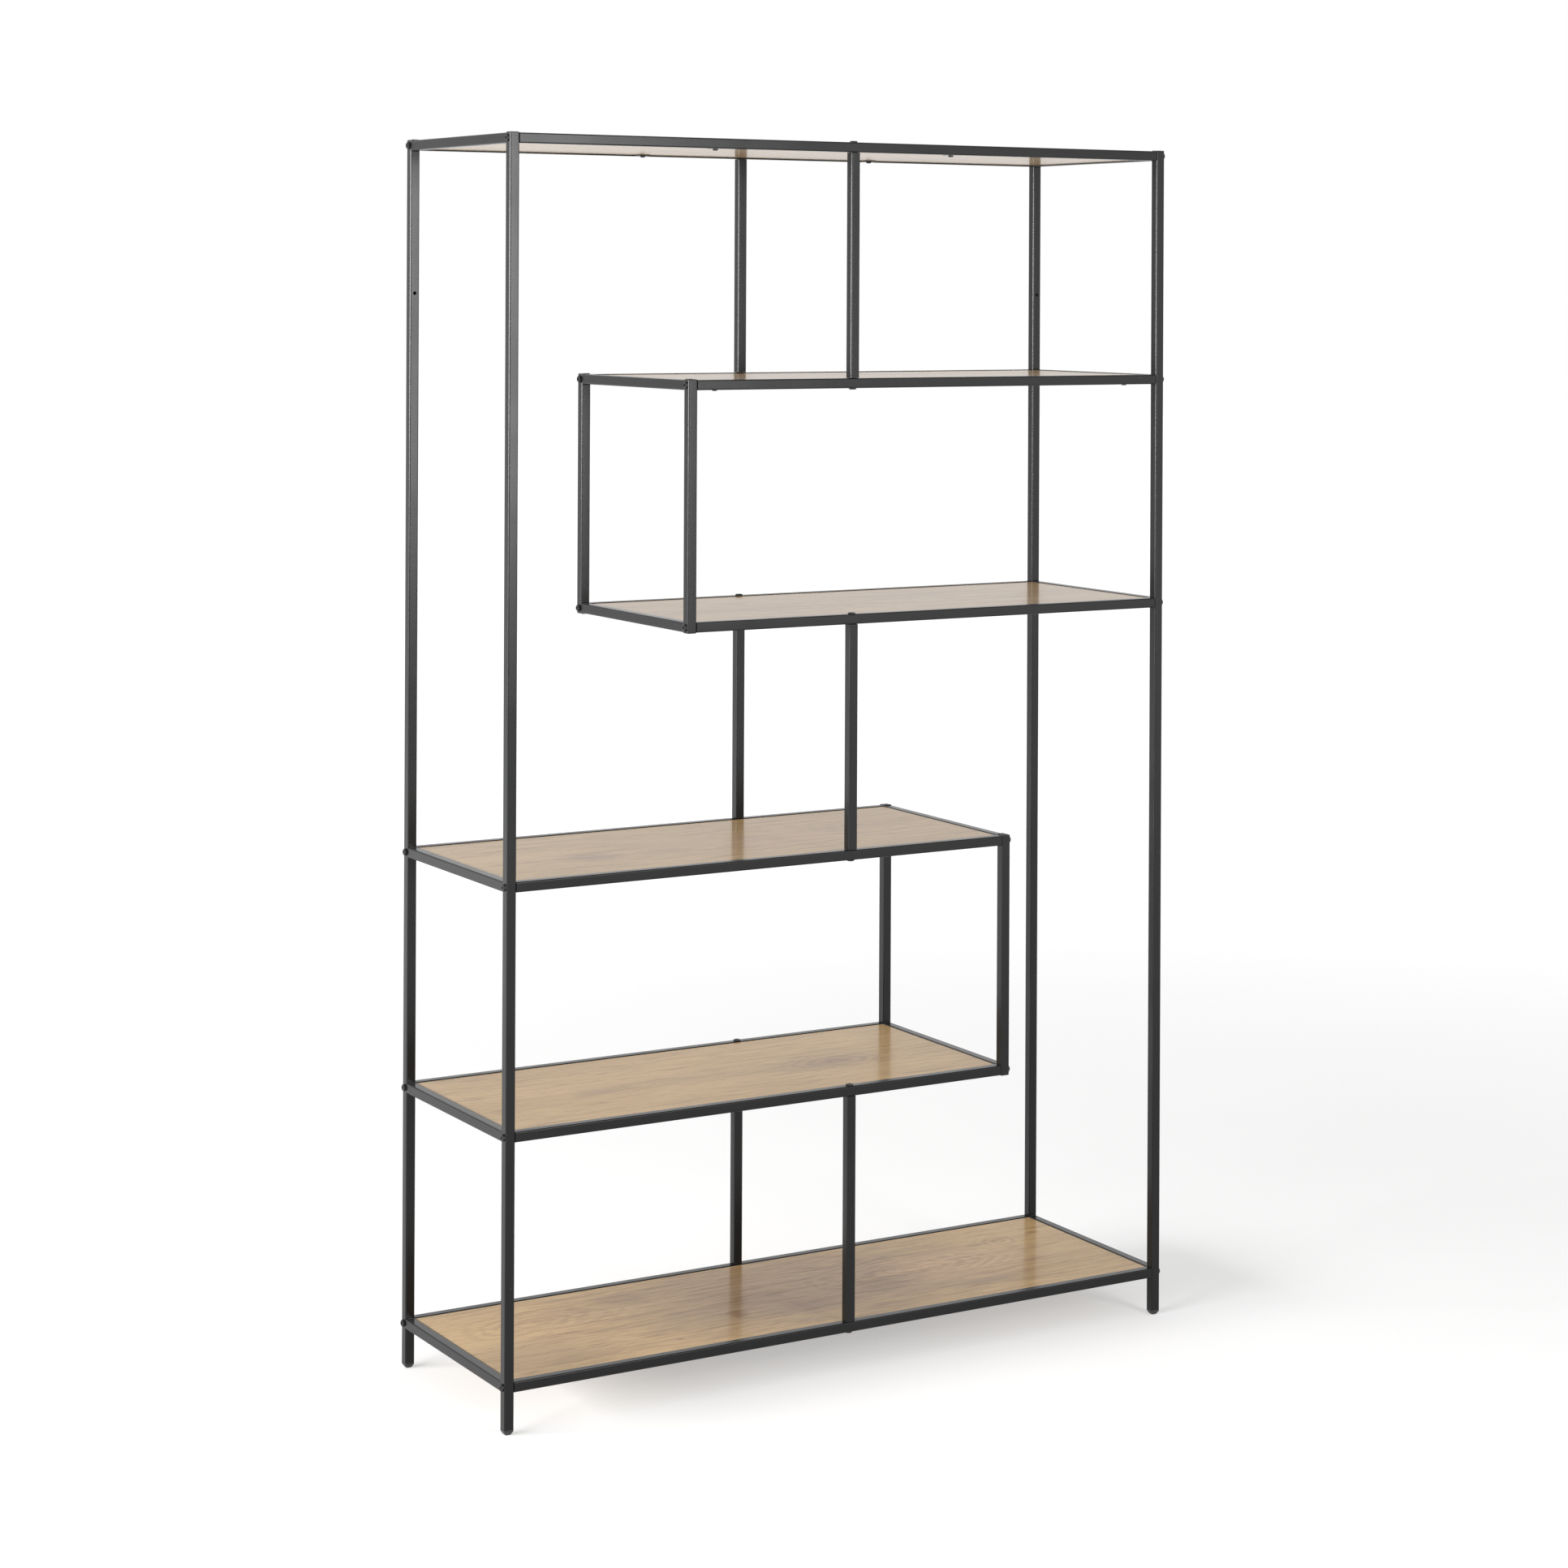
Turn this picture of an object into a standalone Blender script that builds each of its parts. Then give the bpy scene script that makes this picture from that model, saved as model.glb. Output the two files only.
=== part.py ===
"""Open shelving unit of coated square steel tube with six wood-look boards.

Lengths are in metres, +Z is up and the front faces -Y. The origin lies on the floor under
the middle of the unit. Shelves are numbered from the floor: shelf 1 is the lowest and
shelf 6 the top one. Shelves 1 and 6 run the whole width. Shelves 2 and 3 stop short of the
right side, shelves 4 and 5 stop short of the left side, and a short side frame closes each
of those two pairs.
"""

import math

import bmesh
import bpy
from mathutils import Matrix, Vector

# Overall sizes
unit_width = 1.150
unit_depth = 0.360
leg_height = 0.060
shelf_pitch = 0.355
short_shelf_width = 0.860
upright_x = 0.0

# Square tube, the same for every post, rung, rail and upright
tube_size = 0.015
tube_wall = 0.0012
tube_corner_radius = 0.002
corner_segments = 2

# Clearances: between faces that touch, round a bolt, round a screw and inside a tube
seat_gap = 0.0003
bolt_hole_gap = 0.0004
screw_hole_gap = 0.0003
plug_gap = 0.0003
cut_overrun = 0.004

# Boards
board_thickness = 0.012
board_side_gap = 0.0008
board_edge_bevel = 0.0005

# Tabs, welded inside the rails, that carry the boards
tab_length = 0.020
tab_reach = 0.020
tab_thickness = 0.0015
tab_lift = 0.0002
tab_corner = 0.003
tab_screw_reach = 0.012
short_rail_tab_inset = 0.043
long_rail_tab_shares = (0.297, 0.667)

# Pan-head screws that hold the boards down on the tabs
screw_radius = 0.0019
screw_bite = 0.008
screw_head_radius = 0.0040
screw_head_height = 0.0024
screw_sides = 6

# Bolts, and the threaded blocks in the tube ends that they screw into
bolt_radius = 0.003
bolt_reach = 0.012
frame_bolt_head_radius = 0.00525
frame_bolt_head_height = 0.0033
upright_bolt_head_radius = 0.0058
upright_bolt_head_height = 0.0018
bolt_sides = 8
hole_sides = 8
block_length = 0.008
block_width = 0.009
block_setback = 0.0005

# Holes for wall fixings near the top of the two tall rear posts
wall_hole_radius = 0.00275
wall_hole_drop = 0.230

# Glides under the tall posts and caps in the open tube ends
foot_height = 0.008
foot_collar_height = 0.0025
foot_pad_size = 0.008
foot_pad_edge = 0.0008
foot_plug_length = 0.016
cap_height = 0.0012
cap_edge_height = 0.0004
cap_crown_inset = 0.0022
cap_bolt_clearance = 0.001

# Outline of a button head, as shares of its height and of its radius, from rim to crown
head_height_shares = (0.0, 0.30, 1.0)
head_radius_shares = (1.0, 1.0, 0.55)

# Places worked out from the sizes above
shelf_count = 6
bore_size = tube_size - 2 * tube_wall
plug_size = bore_size - 2 * plug_gap
post_x = (unit_width - tube_size) / 2
post_y = (unit_depth - tube_size) / 2
upper_frame_x = post_x - (short_shelf_width - tube_size)
lower_frame_x = -upper_frame_x
post_gap = unit_depth - 2 * tube_size
upright_gap = shelf_pitch - tube_size
cap_plug_length = tube_size / 2 - bolt_radius - cap_bolt_clearance

# The posts that carry the left and the right end of each shelf, by their place along X
shelf_ends = {
    1: (-post_x, post_x),
    2: (-post_x, lower_frame_x),
    3: (-post_x, lower_frame_x),
    4: (upper_frame_x, post_x),
    5: (upper_frame_x, post_x),
    6: (-post_x, post_x),
}
long_shelves = (1, 6)
upright_bays = (1, 3, 5)


def shelf_axis(shelf):
    """Height of the middle of this shelf's rails."""
    return leg_height + tube_size / 2 + (shelf - 1) * shelf_pitch


unit_height = shelf_axis(shelf_count) + tube_size / 2


def make_material(name, colour, roughness, metallic):
    material = bpy.data.materials.new(name)
    material.use_nodes = True
    shader = material.node_tree.nodes["Principled BSDF"]
    shader.inputs["Base Color"].default_value = (*colour, 1.0)
    shader.inputs["Roughness"].default_value = roughness
    shader.inputs["Metallic"].default_value = metallic
    material.diffuse_color = (*colour, 1.0)
    return material


def aimed(origin, direction):
    """The frame at this origin whose own Z points along this direction."""
    turn = Vector(direction).to_track_quat("Z", "Y").to_matrix().to_4x4()
    return Matrix.Translation(origin) @ turn


def rounded_square(size, radius):
    """Points round a square with rounded corners, anticlockwise about its middle."""
    points = []
    reach = size / 2 - radius
    for x_side, y_side, first_angle in ((1, 1, 0), (-1, 1, 90), (-1, -1, 180), (1, -1, 270)):
        for step in range(corner_segments + 1):
            angle = math.radians(first_angle + 90 * step / corner_segments)
            x = x_side * reach + radius * math.cos(angle)
            y = y_side * reach + radius * math.sin(angle)
            points.append((x, y))
    return points


def circle(radius, sides):
    """Points of a regular outline whose flats, not its corners, face along X and Y."""
    angles = [2 * math.pi * (step + 0.5) / sides for step in range(sides)]
    return [(radius * math.cos(angle), radius * math.sin(angle)) for angle in angles]


def add_loft(shape, frame, sections):
    """A closed body through outlines of as many points each, given as (height, outline)."""
    rings = []
    for height, outline in sections:
        rings.append([shape.verts.new(frame @ Vector((x, y, height))) for x, y in outline])
    count = len(rings[0])
    for lower, upper in zip(rings, rings[1:]):
        for corner in range(count):
            after = (corner + 1) % count
            shape.faces.new((lower[corner], lower[after], upper[after], upper[corner]))
    shape.faces.new(reversed(rings[0]))
    shape.faces.new(rings[-1])


def add_turned(shape, frame, profile, sides):
    """A round body from (height, radius) pairs that run up its axis."""
    add_loft(shape, frame, [(height, circle(radius, sides)) for height, radius in profile])


def add_box(shape, low, high):
    """A box between two opposite corners."""
    size = Vector(high) - Vector(low)
    middle = (Vector(high) + Vector(low)) / 2
    bmesh.ops.create_cube(shape, size=1.0, matrix=Matrix.Translation(middle) @ Matrix.Diagonal((*size, 1.0)))


def add_bar(shape, frame, start, end):
    """The outside of a square tube between two places along its own Z."""
    outline = rounded_square(tube_size, tube_corner_radius)
    add_loft(shape, frame, [(start, outline), (end, outline)])


def add_bore(cut, frame, start, end):
    """The inside of a square tube, open at both ends."""
    half = bore_size / 2
    outline = [(-half, -half), (half, -half), (half, half), (-half, half)]
    add_loft(cut, frame, [(start - cut_overrun, outline), (end + cut_overrun, outline)])


def add_plug(shape, start, end):
    """The square plug of a glide or a cap, between two heights in a post's bore."""
    half = plug_size / 2
    add_box(shape, (-half, -half, start), (half, half, end))


def add_cross_hole(cut, middle, direction, radius):
    """A round hole through both walls of the tube whose axis passes through this place."""
    reach = tube_size / 2 + cut_overrun
    add_turned(cut, aimed(middle, direction), [(-reach, radius), (reach, radius)], hole_sides)


def add_block(fittings, frame):
    """A threaded block welded across the bore of a tube that starts at the frame's origin."""
    half_span = bore_size / 2 + tube_wall / 2
    half_width = block_width / 2
    outline = [
        (-half_width, -half_span),
        (half_width, -half_span),
        (half_width, half_span),
        (-half_width, half_span),
    ]
    start = seat_gap + block_setback
    add_loft(fittings, frame, [(start, outline), (start + block_length, outline)])


def add_bolt(bolts, frame, head_radius, head_height):
    """A button-head bolt through the crossing tube below the frame's origin, into the block above."""
    seat = -tube_size - seat_gap
    profile = [
        (seat - head_height * height_share, head_radius * radius_share)
        for height_share, radius_share in zip(head_height_shares, head_radius_shares)
    ]
    profile.reverse()
    profile.append((seat, bolt_radius))
    profile.append((bolt_reach, bolt_radius))
    add_turned(bolts, frame, profile, bolt_sides)


def add_tab(fittings, place):
    """A tab on the rail's inner side, its outer corners cut off, this far along the rail."""
    inner_face = tube_size / 2
    root = inner_face - tube_corner_radius
    tip = inner_face + tab_reach
    half = tab_length / 2
    outline = [
        (place - half, root),
        (place + half, root),
        (place + half, tip - tab_corner),
        (place + half - tab_corner, tip),
        (place - half + tab_corner, tip),
        (place - half, tip - tab_corner),
    ]
    underside = tab_lift - tube_size / 2
    add_loft(fittings, Matrix(), [(underside, outline), (underside + tab_thickness, outline)])


def add_screw(screws, place):
    """A screw up through the tab, its head under the tab and its point in the board."""
    underside = tab_lift - tube_size / 2
    board_underside = underside + tab_thickness + seat_gap
    middle = (place, tube_size / 2 + tab_screw_reach, 0.0)
    head_base = underside + tab_thickness / 2
    profile = [
        (underside - screw_head_height, screw_head_radius / 2),
        (underside - screw_head_height / 2, screw_head_radius),
        (head_base, screw_head_radius),
        (head_base, screw_radius),
        (board_underside + screw_bite, screw_radius),
    ]
    add_turned(screws, Matrix.Translation(middle), profile, screw_sides)


def temporary_object(shape, name):
    mesh = bpy.data.meshes.new(name)
    shape.to_mesh(mesh)
    shape.free()
    helper = bpy.data.objects.new(name, mesh)
    helper.hide_render = True
    helper.display_type = "WIRE"
    bpy.context.scene.collection.objects.link(helper)
    return helper


def finished_mesh(name, body, steps=()):
    """The body's mesh after its Boolean steps, each an (operation, shape) pair."""
    helpers = [temporary_object(body, name)]
    for operation, shape in steps:
        helper = temporary_object(shape, f"{name}_{operation.lower()}")
        modifier = helpers[0].modifiers.new(helper.name, "BOOLEAN")
        modifier.operation = operation
        modifier.solver = "EXACT"
        modifier.object = helper
        helpers.append(helper)
    graph = bpy.context.evaluated_depsgraph_get()
    mesh = bpy.data.meshes.new_from_object(helpers[0].evaluated_get(graph))
    mesh.name = name
    for helper in helpers:
        old_mesh = helper.data
        bpy.data.objects.remove(helper)
        bpy.data.meshes.remove(old_mesh)
    mesh.shade_smooth()
    mesh.set_sharp_from_angle(angle=math.radians(35))
    return mesh


def place_piece(name, mesh, material, location, turn=(0.0, 0.0, 0.0)):
    """A named piece that uses this mesh, with its origin here and turned by these angles."""
    if not mesh.materials:
        mesh.materials.append(material)
    piece = bpy.data.objects.new(name, mesh)
    piece.location = location
    piece.rotation_euler = turn
    bpy.context.scene.collection.objects.link(piece)


def tall_post_mesh(name, shelves, has_wall_hole):
    """A tall post with a bolt hole at each of these shelves; its origin is on the floor."""
    body = bmesh.new()
    add_bar(body, Matrix(), foot_height, unit_height)
    cut = bmesh.new()
    add_bore(cut, Matrix(), foot_height, unit_height)
    hole_radius = bolt_radius + bolt_hole_gap
    holes = bmesh.new()
    for shelf in shelves:
        add_cross_hole(holes, (0.0, 0.0, shelf_axis(shelf)), (1, 0, 0), hole_radius)
    if has_wall_hole:
        add_cross_hole(holes, (0.0, 0.0, unit_height - wall_hole_drop), (0, 1, 0), wall_hole_radius)
    return finished_mesh(name, body, [("DIFFERENCE", cut), ("DIFFERENCE", holes)])


def short_post_mesh():
    """A post from the underside of one shelf's rails to the top of the next one's."""
    length = shelf_pitch + tube_size
    body = bmesh.new()
    add_bar(body, Matrix(), 0.0, length)
    cut = bmesh.new()
    add_bore(cut, Matrix(), 0.0, length)
    holes = bmesh.new()
    for height in (tube_size / 2, length - tube_size / 2):
        add_cross_hole(holes, (0.0, 0.0, height), (1, 0, 0), bolt_radius + bolt_hole_gap)
    return finished_mesh("short_post", body, [("DIFFERENCE", cut), ("DIFFERENCE", holes)])


def rung_mesh():
    """A rung between a front and a rear post; its origin is on the front post's inner face."""
    along_y = aimed((0.0, 0.0, 0.0), (0, 1, 0))
    body = bmesh.new()
    add_bar(body, along_y, seat_gap, post_gap - seat_gap)
    cut = bmesh.new()
    add_bore(cut, along_y, seat_gap, post_gap - seat_gap)
    return finished_mesh("rung", body, [("DIFFERENCE", cut)])


def rail_mesh(name, span, upright_place, tab_places):
    """A rail along +X from a post's inner face, with its tabs, screws, end blocks and bolts."""
    start_frame = aimed((0.0, 0.0, 0.0), (1, 0, 0))
    end_frame = aimed((span, 0.0, 0.0), (-1, 0, 0))
    body = bmesh.new()
    add_bar(body, start_frame, seat_gap, span - seat_gap)
    cut = bmesh.new()
    add_bore(cut, start_frame, seat_gap, span - seat_gap)
    holes = bmesh.new()
    add_cross_hole(holes, (upright_place, 0.0, 0.0), (0, 0, 1), bolt_radius + bolt_hole_gap)
    fittings = bmesh.new()
    fasteners = bmesh.new()
    for frame in (start_frame, end_frame):
        add_block(fittings, frame)
        add_bolt(fasteners, frame, frame_bolt_head_radius, frame_bolt_head_height)
    for place in tab_places:
        add_tab(fittings, place)
        add_screw(fasteners, place)
    steps = [("DIFFERENCE", cut), ("DIFFERENCE", holes), ("UNION", fittings), ("UNION", fasteners)]
    return finished_mesh(name, body, steps)


def upright_mesh():
    """An upright between two shelves' rails, with its end blocks and the bolts through the rails."""
    foot_frame = aimed((0.0, 0.0, 0.0), (0, 0, 1))
    head_frame = aimed((0.0, 0.0, upright_gap), (0, 0, -1))
    body = bmesh.new()
    add_bar(body, foot_frame, seat_gap, upright_gap - seat_gap)
    cut = bmesh.new()
    add_bore(cut, foot_frame, seat_gap, upright_gap - seat_gap)
    fittings = bmesh.new()
    fasteners = bmesh.new()
    for frame in (foot_frame, head_frame):
        add_block(fittings, frame)
        add_bolt(fasteners, frame, upright_bolt_head_radius, upright_bolt_head_height)
    steps = [("DIFFERENCE", cut), ("UNION", fittings), ("UNION", fasteners)]
    return finished_mesh("upright", body, steps)


def tab_places_of(shelf, span):
    """Where the tabs sit along a rail of this shelf, from the end that the rail starts at."""
    if shelf in long_shelves:
        return [span * share for share in long_rail_tab_shares]
    return [short_rail_tab_inset, span - short_rail_tab_inset]


def board_mesh(name, span, tab_places):
    """A board with a pilot hole over each tab screw; its origin is over the rails' left end."""
    half_depth = post_gap / 2 - board_side_gap
    body = bmesh.new()
    low = (board_side_gap, -half_depth, 0.0)
    high = (span - board_side_gap, half_depth, board_thickness)
    add_box(body, low, high)
    bmesh.ops.bevel(body, geom=body.edges[:], offset=board_edge_bevel, segments=1, affect="EDGES")
    holes = bmesh.new()
    radius = screw_radius + screw_hole_gap
    profile = [(-cut_overrun, radius), (screw_bite + screw_hole_gap, radius)]
    screw_y = post_gap / 2 - tab_screw_reach
    for place in tab_places:
        add_turned(holes, Matrix.Translation((place, -screw_y, 0.0)), profile, hole_sides)
        add_turned(holes, Matrix.Translation((span - place, screw_y, 0.0)), profile, hole_sides)
    return finished_mesh(name, body, [("DIFFERENCE", holes)])


def foot_mesh():
    """A glide with its plug up the post; its origin is on the floor under the post's axis."""
    pad = rounded_square(foot_pad_size - 2 * foot_pad_edge, tube_corner_radius)
    pad_rim = rounded_square(foot_pad_size, tube_corner_radius)
    collar = rounded_square(tube_size, tube_corner_radius)
    seat = foot_height - seat_gap
    sections = [
        (0.0, pad),
        (foot_pad_edge, pad_rim),
        (seat - foot_collar_height, collar),
        (seat, collar),
    ]
    body = bmesh.new()
    add_loft(body, Matrix(), sections)
    plug = bmesh.new()
    add_plug(plug, seat - foot_collar_height / 2, foot_height + foot_plug_length)
    return finished_mesh("foot", body, [("UNION", plug)])


def cap_mesh():
    """An end cap, slightly crowned; its origin is on the tube's end, which faces +Z."""
    rim = rounded_square(tube_size, tube_corner_radius)
    crown = rounded_square(tube_size - 2 * cap_crown_inset, tube_corner_radius)
    sections = [
        (seat_gap, rim),
        (seat_gap + cap_edge_height, rim),
        (cap_height, crown),
    ]
    body = bmesh.new()
    add_loft(body, Matrix(), sections)
    plug = bmesh.new()
    add_plug(plug, -cap_plug_length, seat_gap + cap_edge_height / 2)
    return finished_mesh("cap", body, [("UNION", plug)])


def build_tall_frames(steel):
    """The two welded side frames: a front and a rear post, and a rung at each shelf they carry."""
    rung = rung_mesh()
    for side, x in (("left", -post_x), ("right", post_x)):
        shelves = [shelf for shelf, ends in shelf_ends.items() if x in ends]
        for row, y in (("front", -post_y), ("rear", post_y)):
            name = f"{side}_side_{row}_post"
            post = tall_post_mesh(name, shelves, row == "rear")
            place_piece(name, post, steel, (x, y, 0.0))
        for shelf in shelves:
            location = (x, -post_gap / 2, shelf_axis(shelf))
            place_piece(f"{side}_side_rung_{shelf}", rung, steel, location)


def build_short_frames(steel):
    """The two welded short frames, each closing a pair of short shelves."""
    post = short_post_mesh()
    rung = rung_mesh()
    for frame, x, lower_shelf in (("lower", lower_frame_x, 2), ("upper", upper_frame_x, 4)):
        underside = shelf_axis(lower_shelf) - tube_size / 2
        for row, y in (("front", -post_y), ("rear", post_y)):
            place_piece(f"{frame}_short_frame_{row}_post", post, steel, (x, y, underside))
        for end, shelf in (("bottom", lower_shelf), ("top", lower_shelf + 1)):
            location = (x, -post_gap / 2, shelf_axis(shelf))
            place_piece(f"{frame}_short_frame_{end}_rung", rung, steel, location)


def build_shelves(steel, wood):
    """Each shelf's front and rear rail and its board; a rear rail is turned half round."""
    board_underside = tab_lift + tab_thickness + seat_gap - tube_size / 2
    for shelf, (left_x, right_x) in shelf_ends.items():
        start = left_x + tube_size / 2
        end = right_x - tube_size / 2
        span = end - start
        tab_places = tab_places_of(shelf, span)
        height = shelf_axis(shelf)
        front = rail_mesh(f"shelf_{shelf}_front_rail", span, upright_x - start, tab_places)
        place_piece(f"shelf_{shelf}_front_rail", front, steel, (start, -post_y, height))
        rear = rail_mesh(f"shelf_{shelf}_rear_rail", span, end - upright_x, tab_places)
        place_piece(f"shelf_{shelf}_rear_rail", rear, steel, (end, post_y, height), (0.0, 0.0, math.pi))
        board = board_mesh(f"shelf_{shelf}_board", span, tab_places)
        place_piece(f"shelf_{shelf}_board", board, wood, (start, 0.0, height + board_underside))


def build_uprights(steel):
    """The pairs of uprights between shelves 1 and 2, 3 and 4, and 5 and 6."""
    upright = upright_mesh()
    for bay in upright_bays:
        lower_rail_top = shelf_axis(bay) + tube_size / 2
        for row, y in (("front", -post_y), ("rear", post_y)):
            place_piece(f"bay_{bay}_{row}_upright", upright, steel, (upright_x, y, lower_rail_top))


def build_plastic_ends(plastic):
    """Glides and top caps on the tall posts, and a cap in each end of the short posts."""
    foot = foot_mesh()
    cap = cap_mesh()
    upside_down = (math.pi, 0.0, 0.0)
    for row, y in (("front", -post_y), ("rear", post_y)):
        for side, x in (("left", -post_x), ("right", post_x)):
            place_piece(f"{side}_{row}_foot", foot, plastic, (x, y, 0.0))
            place_piece(f"{side}_{row}_post_cap", cap, plastic, (x, y, unit_height))
        for frame, x, lower_shelf in (("lower", lower_frame_x, 2), ("upper", upper_frame_x, 4)):
            name = f"{frame}_short_frame_{row}"
            top = shelf_axis(lower_shelf + 1) + tube_size / 2
            bottom = shelf_axis(lower_shelf) - tube_size / 2
            place_piece(f"{name}_top_cap", cap, plastic, (x, y, top))
            place_piece(f"{name}_bottom_cap", cap, plastic, (x, y, bottom), upside_down)


def main():
    for old in list(bpy.data.objects):
        bpy.data.objects.remove(old, do_unlink=True)
    steel = make_material("frame_coating", (0.045, 0.046, 0.047), 0.42, 0.0)
    wood = make_material("oak_board", (0.62, 0.49, 0.36), 0.45, 0.0)
    plastic = make_material("black_plastic", (0.02, 0.02, 0.02), 0.5, 0.0)
    build_tall_frames(steel)
    build_short_frames(steel)
    build_shelves(steel, wood)
    build_uprights(steel)
    build_plastic_ends(plastic)
    bpy.context.view_layer.update()


main()
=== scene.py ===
# %% [markdown]
# # An open shelving unit
#
# The unit is a slim frame of black powder-coated square tube that carries six oak-look
# boards. Two pairs of shelves stop short of one side, so a tall niche is left beside each
# pair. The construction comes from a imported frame: its nodes hold every place and size in
# metres, and this script only reads them and dresses them. Front is -Y and up is +Z.

# %% Load the frame and note its size
import math

import bpy
from mathutils import Matrix, Vector


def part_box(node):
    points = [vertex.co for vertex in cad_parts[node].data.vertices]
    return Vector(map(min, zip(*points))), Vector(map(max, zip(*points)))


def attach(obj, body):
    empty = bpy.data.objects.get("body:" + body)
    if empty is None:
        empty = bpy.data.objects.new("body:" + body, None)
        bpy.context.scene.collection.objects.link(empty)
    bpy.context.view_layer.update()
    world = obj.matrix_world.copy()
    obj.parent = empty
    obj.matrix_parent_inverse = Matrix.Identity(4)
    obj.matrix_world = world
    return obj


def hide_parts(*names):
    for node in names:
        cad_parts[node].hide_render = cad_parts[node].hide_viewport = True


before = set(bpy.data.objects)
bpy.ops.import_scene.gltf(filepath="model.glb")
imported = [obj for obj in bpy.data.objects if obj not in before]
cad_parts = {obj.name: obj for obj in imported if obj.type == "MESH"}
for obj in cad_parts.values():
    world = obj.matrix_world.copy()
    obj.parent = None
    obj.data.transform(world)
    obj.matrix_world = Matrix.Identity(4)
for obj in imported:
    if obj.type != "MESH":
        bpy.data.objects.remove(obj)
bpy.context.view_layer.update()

# %% [markdown]
# ## The camera
#
# The picture was taken from the left, at a little under the height of the top shelf, with
# the camera level: every upright stays parallel in it. Tilting a camera makes uprights
# lean, so a level camera with a shifted lens is used, as architects' photographers do. The
# place, the lens and the shift come from fitting the unit's own corners to the picture.

# %% Set up the camera
image_width = 1932
focal_pixels = 4160.32
principal_point = (993.64, 351.41)
camera_place = Vector((-2.65012, -4.51390, 1.63464))
camera_heading = math.radians(30.610)
camera_roll = math.radians(0.2574)

camera_data = bpy.data.cameras.new("photo_camera")
camera_data.sensor_width = 36.0
camera_data.lens = focal_pixels / image_width * camera_data.sensor_width
camera_data.shift_x = (image_width / 2 - principal_point[0]) / image_width
camera_data.shift_y = (principal_point[1] - image_width / 2) / image_width
camera = bpy.data.objects.new("photo_camera", camera_data)
bpy.context.scene.collection.objects.link(camera)

forward = Vector((math.sin(camera_heading), math.cos(camera_heading), 0.0))
level_right = Vector((math.cos(camera_heading), -math.sin(camera_heading), 0.0))
level_up = Vector((0.0, 0.0, 1.0))
right = level_right * math.cos(camera_roll) + level_up * math.sin(camera_roll)
up = level_up * math.cos(camera_roll) - level_right * math.sin(camera_roll)
turn = Matrix((right, up, -forward)).transposed().to_4x4()
camera.matrix_world = Matrix.Translation(camera_place) @ turn
bpy.context.scene.camera = camera
print("lens:", round(camera_data.lens, 2), "mm, shift:", camera_data.shift_x, camera_data.shift_y)

# %% [markdown]
# ## Small helpers
#
# Most pieces start as a cube or a cylinder and are shaped in edit mode. An operator acts on
# all that is selected, so these helpers first select by place what it is to act on. Others
# finish a piece the same way each time: smooth shading, with weighted normals so that the
# flat sides stay flat.

# %% Helpers to select
def clear_selection():
    if bpy.context.mode != "OBJECT":
        bpy.ops.object.mode_set(mode="OBJECT")
    bpy.ops.object.select_all(action="DESELECT")


def choose(piece):
    clear_selection()
    piece.select_set(True)
    bpy.context.view_layer.objects.active = piece


def edit(piece, kind, wanted):
    """Opens the piece in edit mode with only the wanted edges or faces selected."""
    choose(piece)
    mesh = piece.data
    for parts in (mesh.vertices, mesh.edges, mesh.polygons):
        parts.foreach_set("select", [False] * len(parts))
    bpy.context.tool_settings.mesh_select_mode = (False, kind == "edges", kind == "faces")
    for part in mesh.edges if kind == "edges" else mesh.polygons:
        part.select = wanted(mesh, part)
    bpy.ops.object.mode_set(mode="EDIT")


def heights(mesh, part):
    """The heights of the corners of an edge or a face, the lowest first."""
    return sorted(mesh.vertices[index].co.z for index in part.vertices)


def climb(mesh, edge):
    """How far an edge runs upwards."""
    low, high = heights(mesh, edge)
    return high - low


# %% Helpers to make a cube or a cylinder
def add_cube(name, low, high):
    """A cube stretched between two corners, its object left unscaled at the origin."""
    clear_selection()
    low, high = Vector(low), Vector(high)
    bpy.ops.mesh.primitive_cube_add(size=1.0, location=(low + high) / 2)
    piece = bpy.context.object
    piece.scale = high - low
    bpy.ops.object.transform_apply(location=True, rotation=True, scale=True)
    piece.name = piece.data.name = name
    return piece


def add_cylinder(name, radius, bottom, top, sides):
    """A cylinder round the Z axis between two heights."""
    clear_selection()
    bpy.ops.mesh.primitive_cylinder_add(
        vertices=sides, radius=radius, depth=top - bottom, location=(0.0, 0.0, (top + bottom) / 2)
    )
    piece = bpy.context.object
    bpy.ops.object.transform_apply(location=True, rotation=True, scale=True)
    piece.name = piece.data.name = name
    return piece


# %% Helpers to smooth, cut, copy and join
def smooth(piece, angle=40.0):
    """Smooth shading with hard creases kept, and normals that follow the larger faces."""
    choose(piece)
    bpy.ops.object.shade_smooth_by_angle(angle=math.radians(angle))
    flatten = piece.modifiers.new("Flat sides", "WEIGHTED_NORMAL")
    flatten.keep_sharp = True
    bpy.ops.object.modifier_apply(modifier=flatten.name)


def cut(piece, cutter):
    """Takes the cutter's shape out of the piece and removes the cutter."""
    choose(piece)
    boolean = piece.modifiers.new("Cut", "BOOLEAN")
    boolean.operation = "DIFFERENCE"
    boolean.solver = "EXACT"
    boolean.object = cutter
    bpy.ops.object.modifier_apply(modifier=boolean.name)
    bpy.data.objects.remove(cutter)


def copy_to(source, name, place, turned=(0.0, 0.0, 0.0)):
    """A copy with a mesh of its own of a piece modelled round the origin, set in its place."""
    choose(source)
    bpy.ops.object.duplicate()
    copy = bpy.context.object
    copy.location = place
    copy.rotation_euler = turned
    bpy.ops.object.transform_apply(location=True, rotation=True, scale=True)
    copy.name = copy.data.name = name
    return copy


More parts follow.
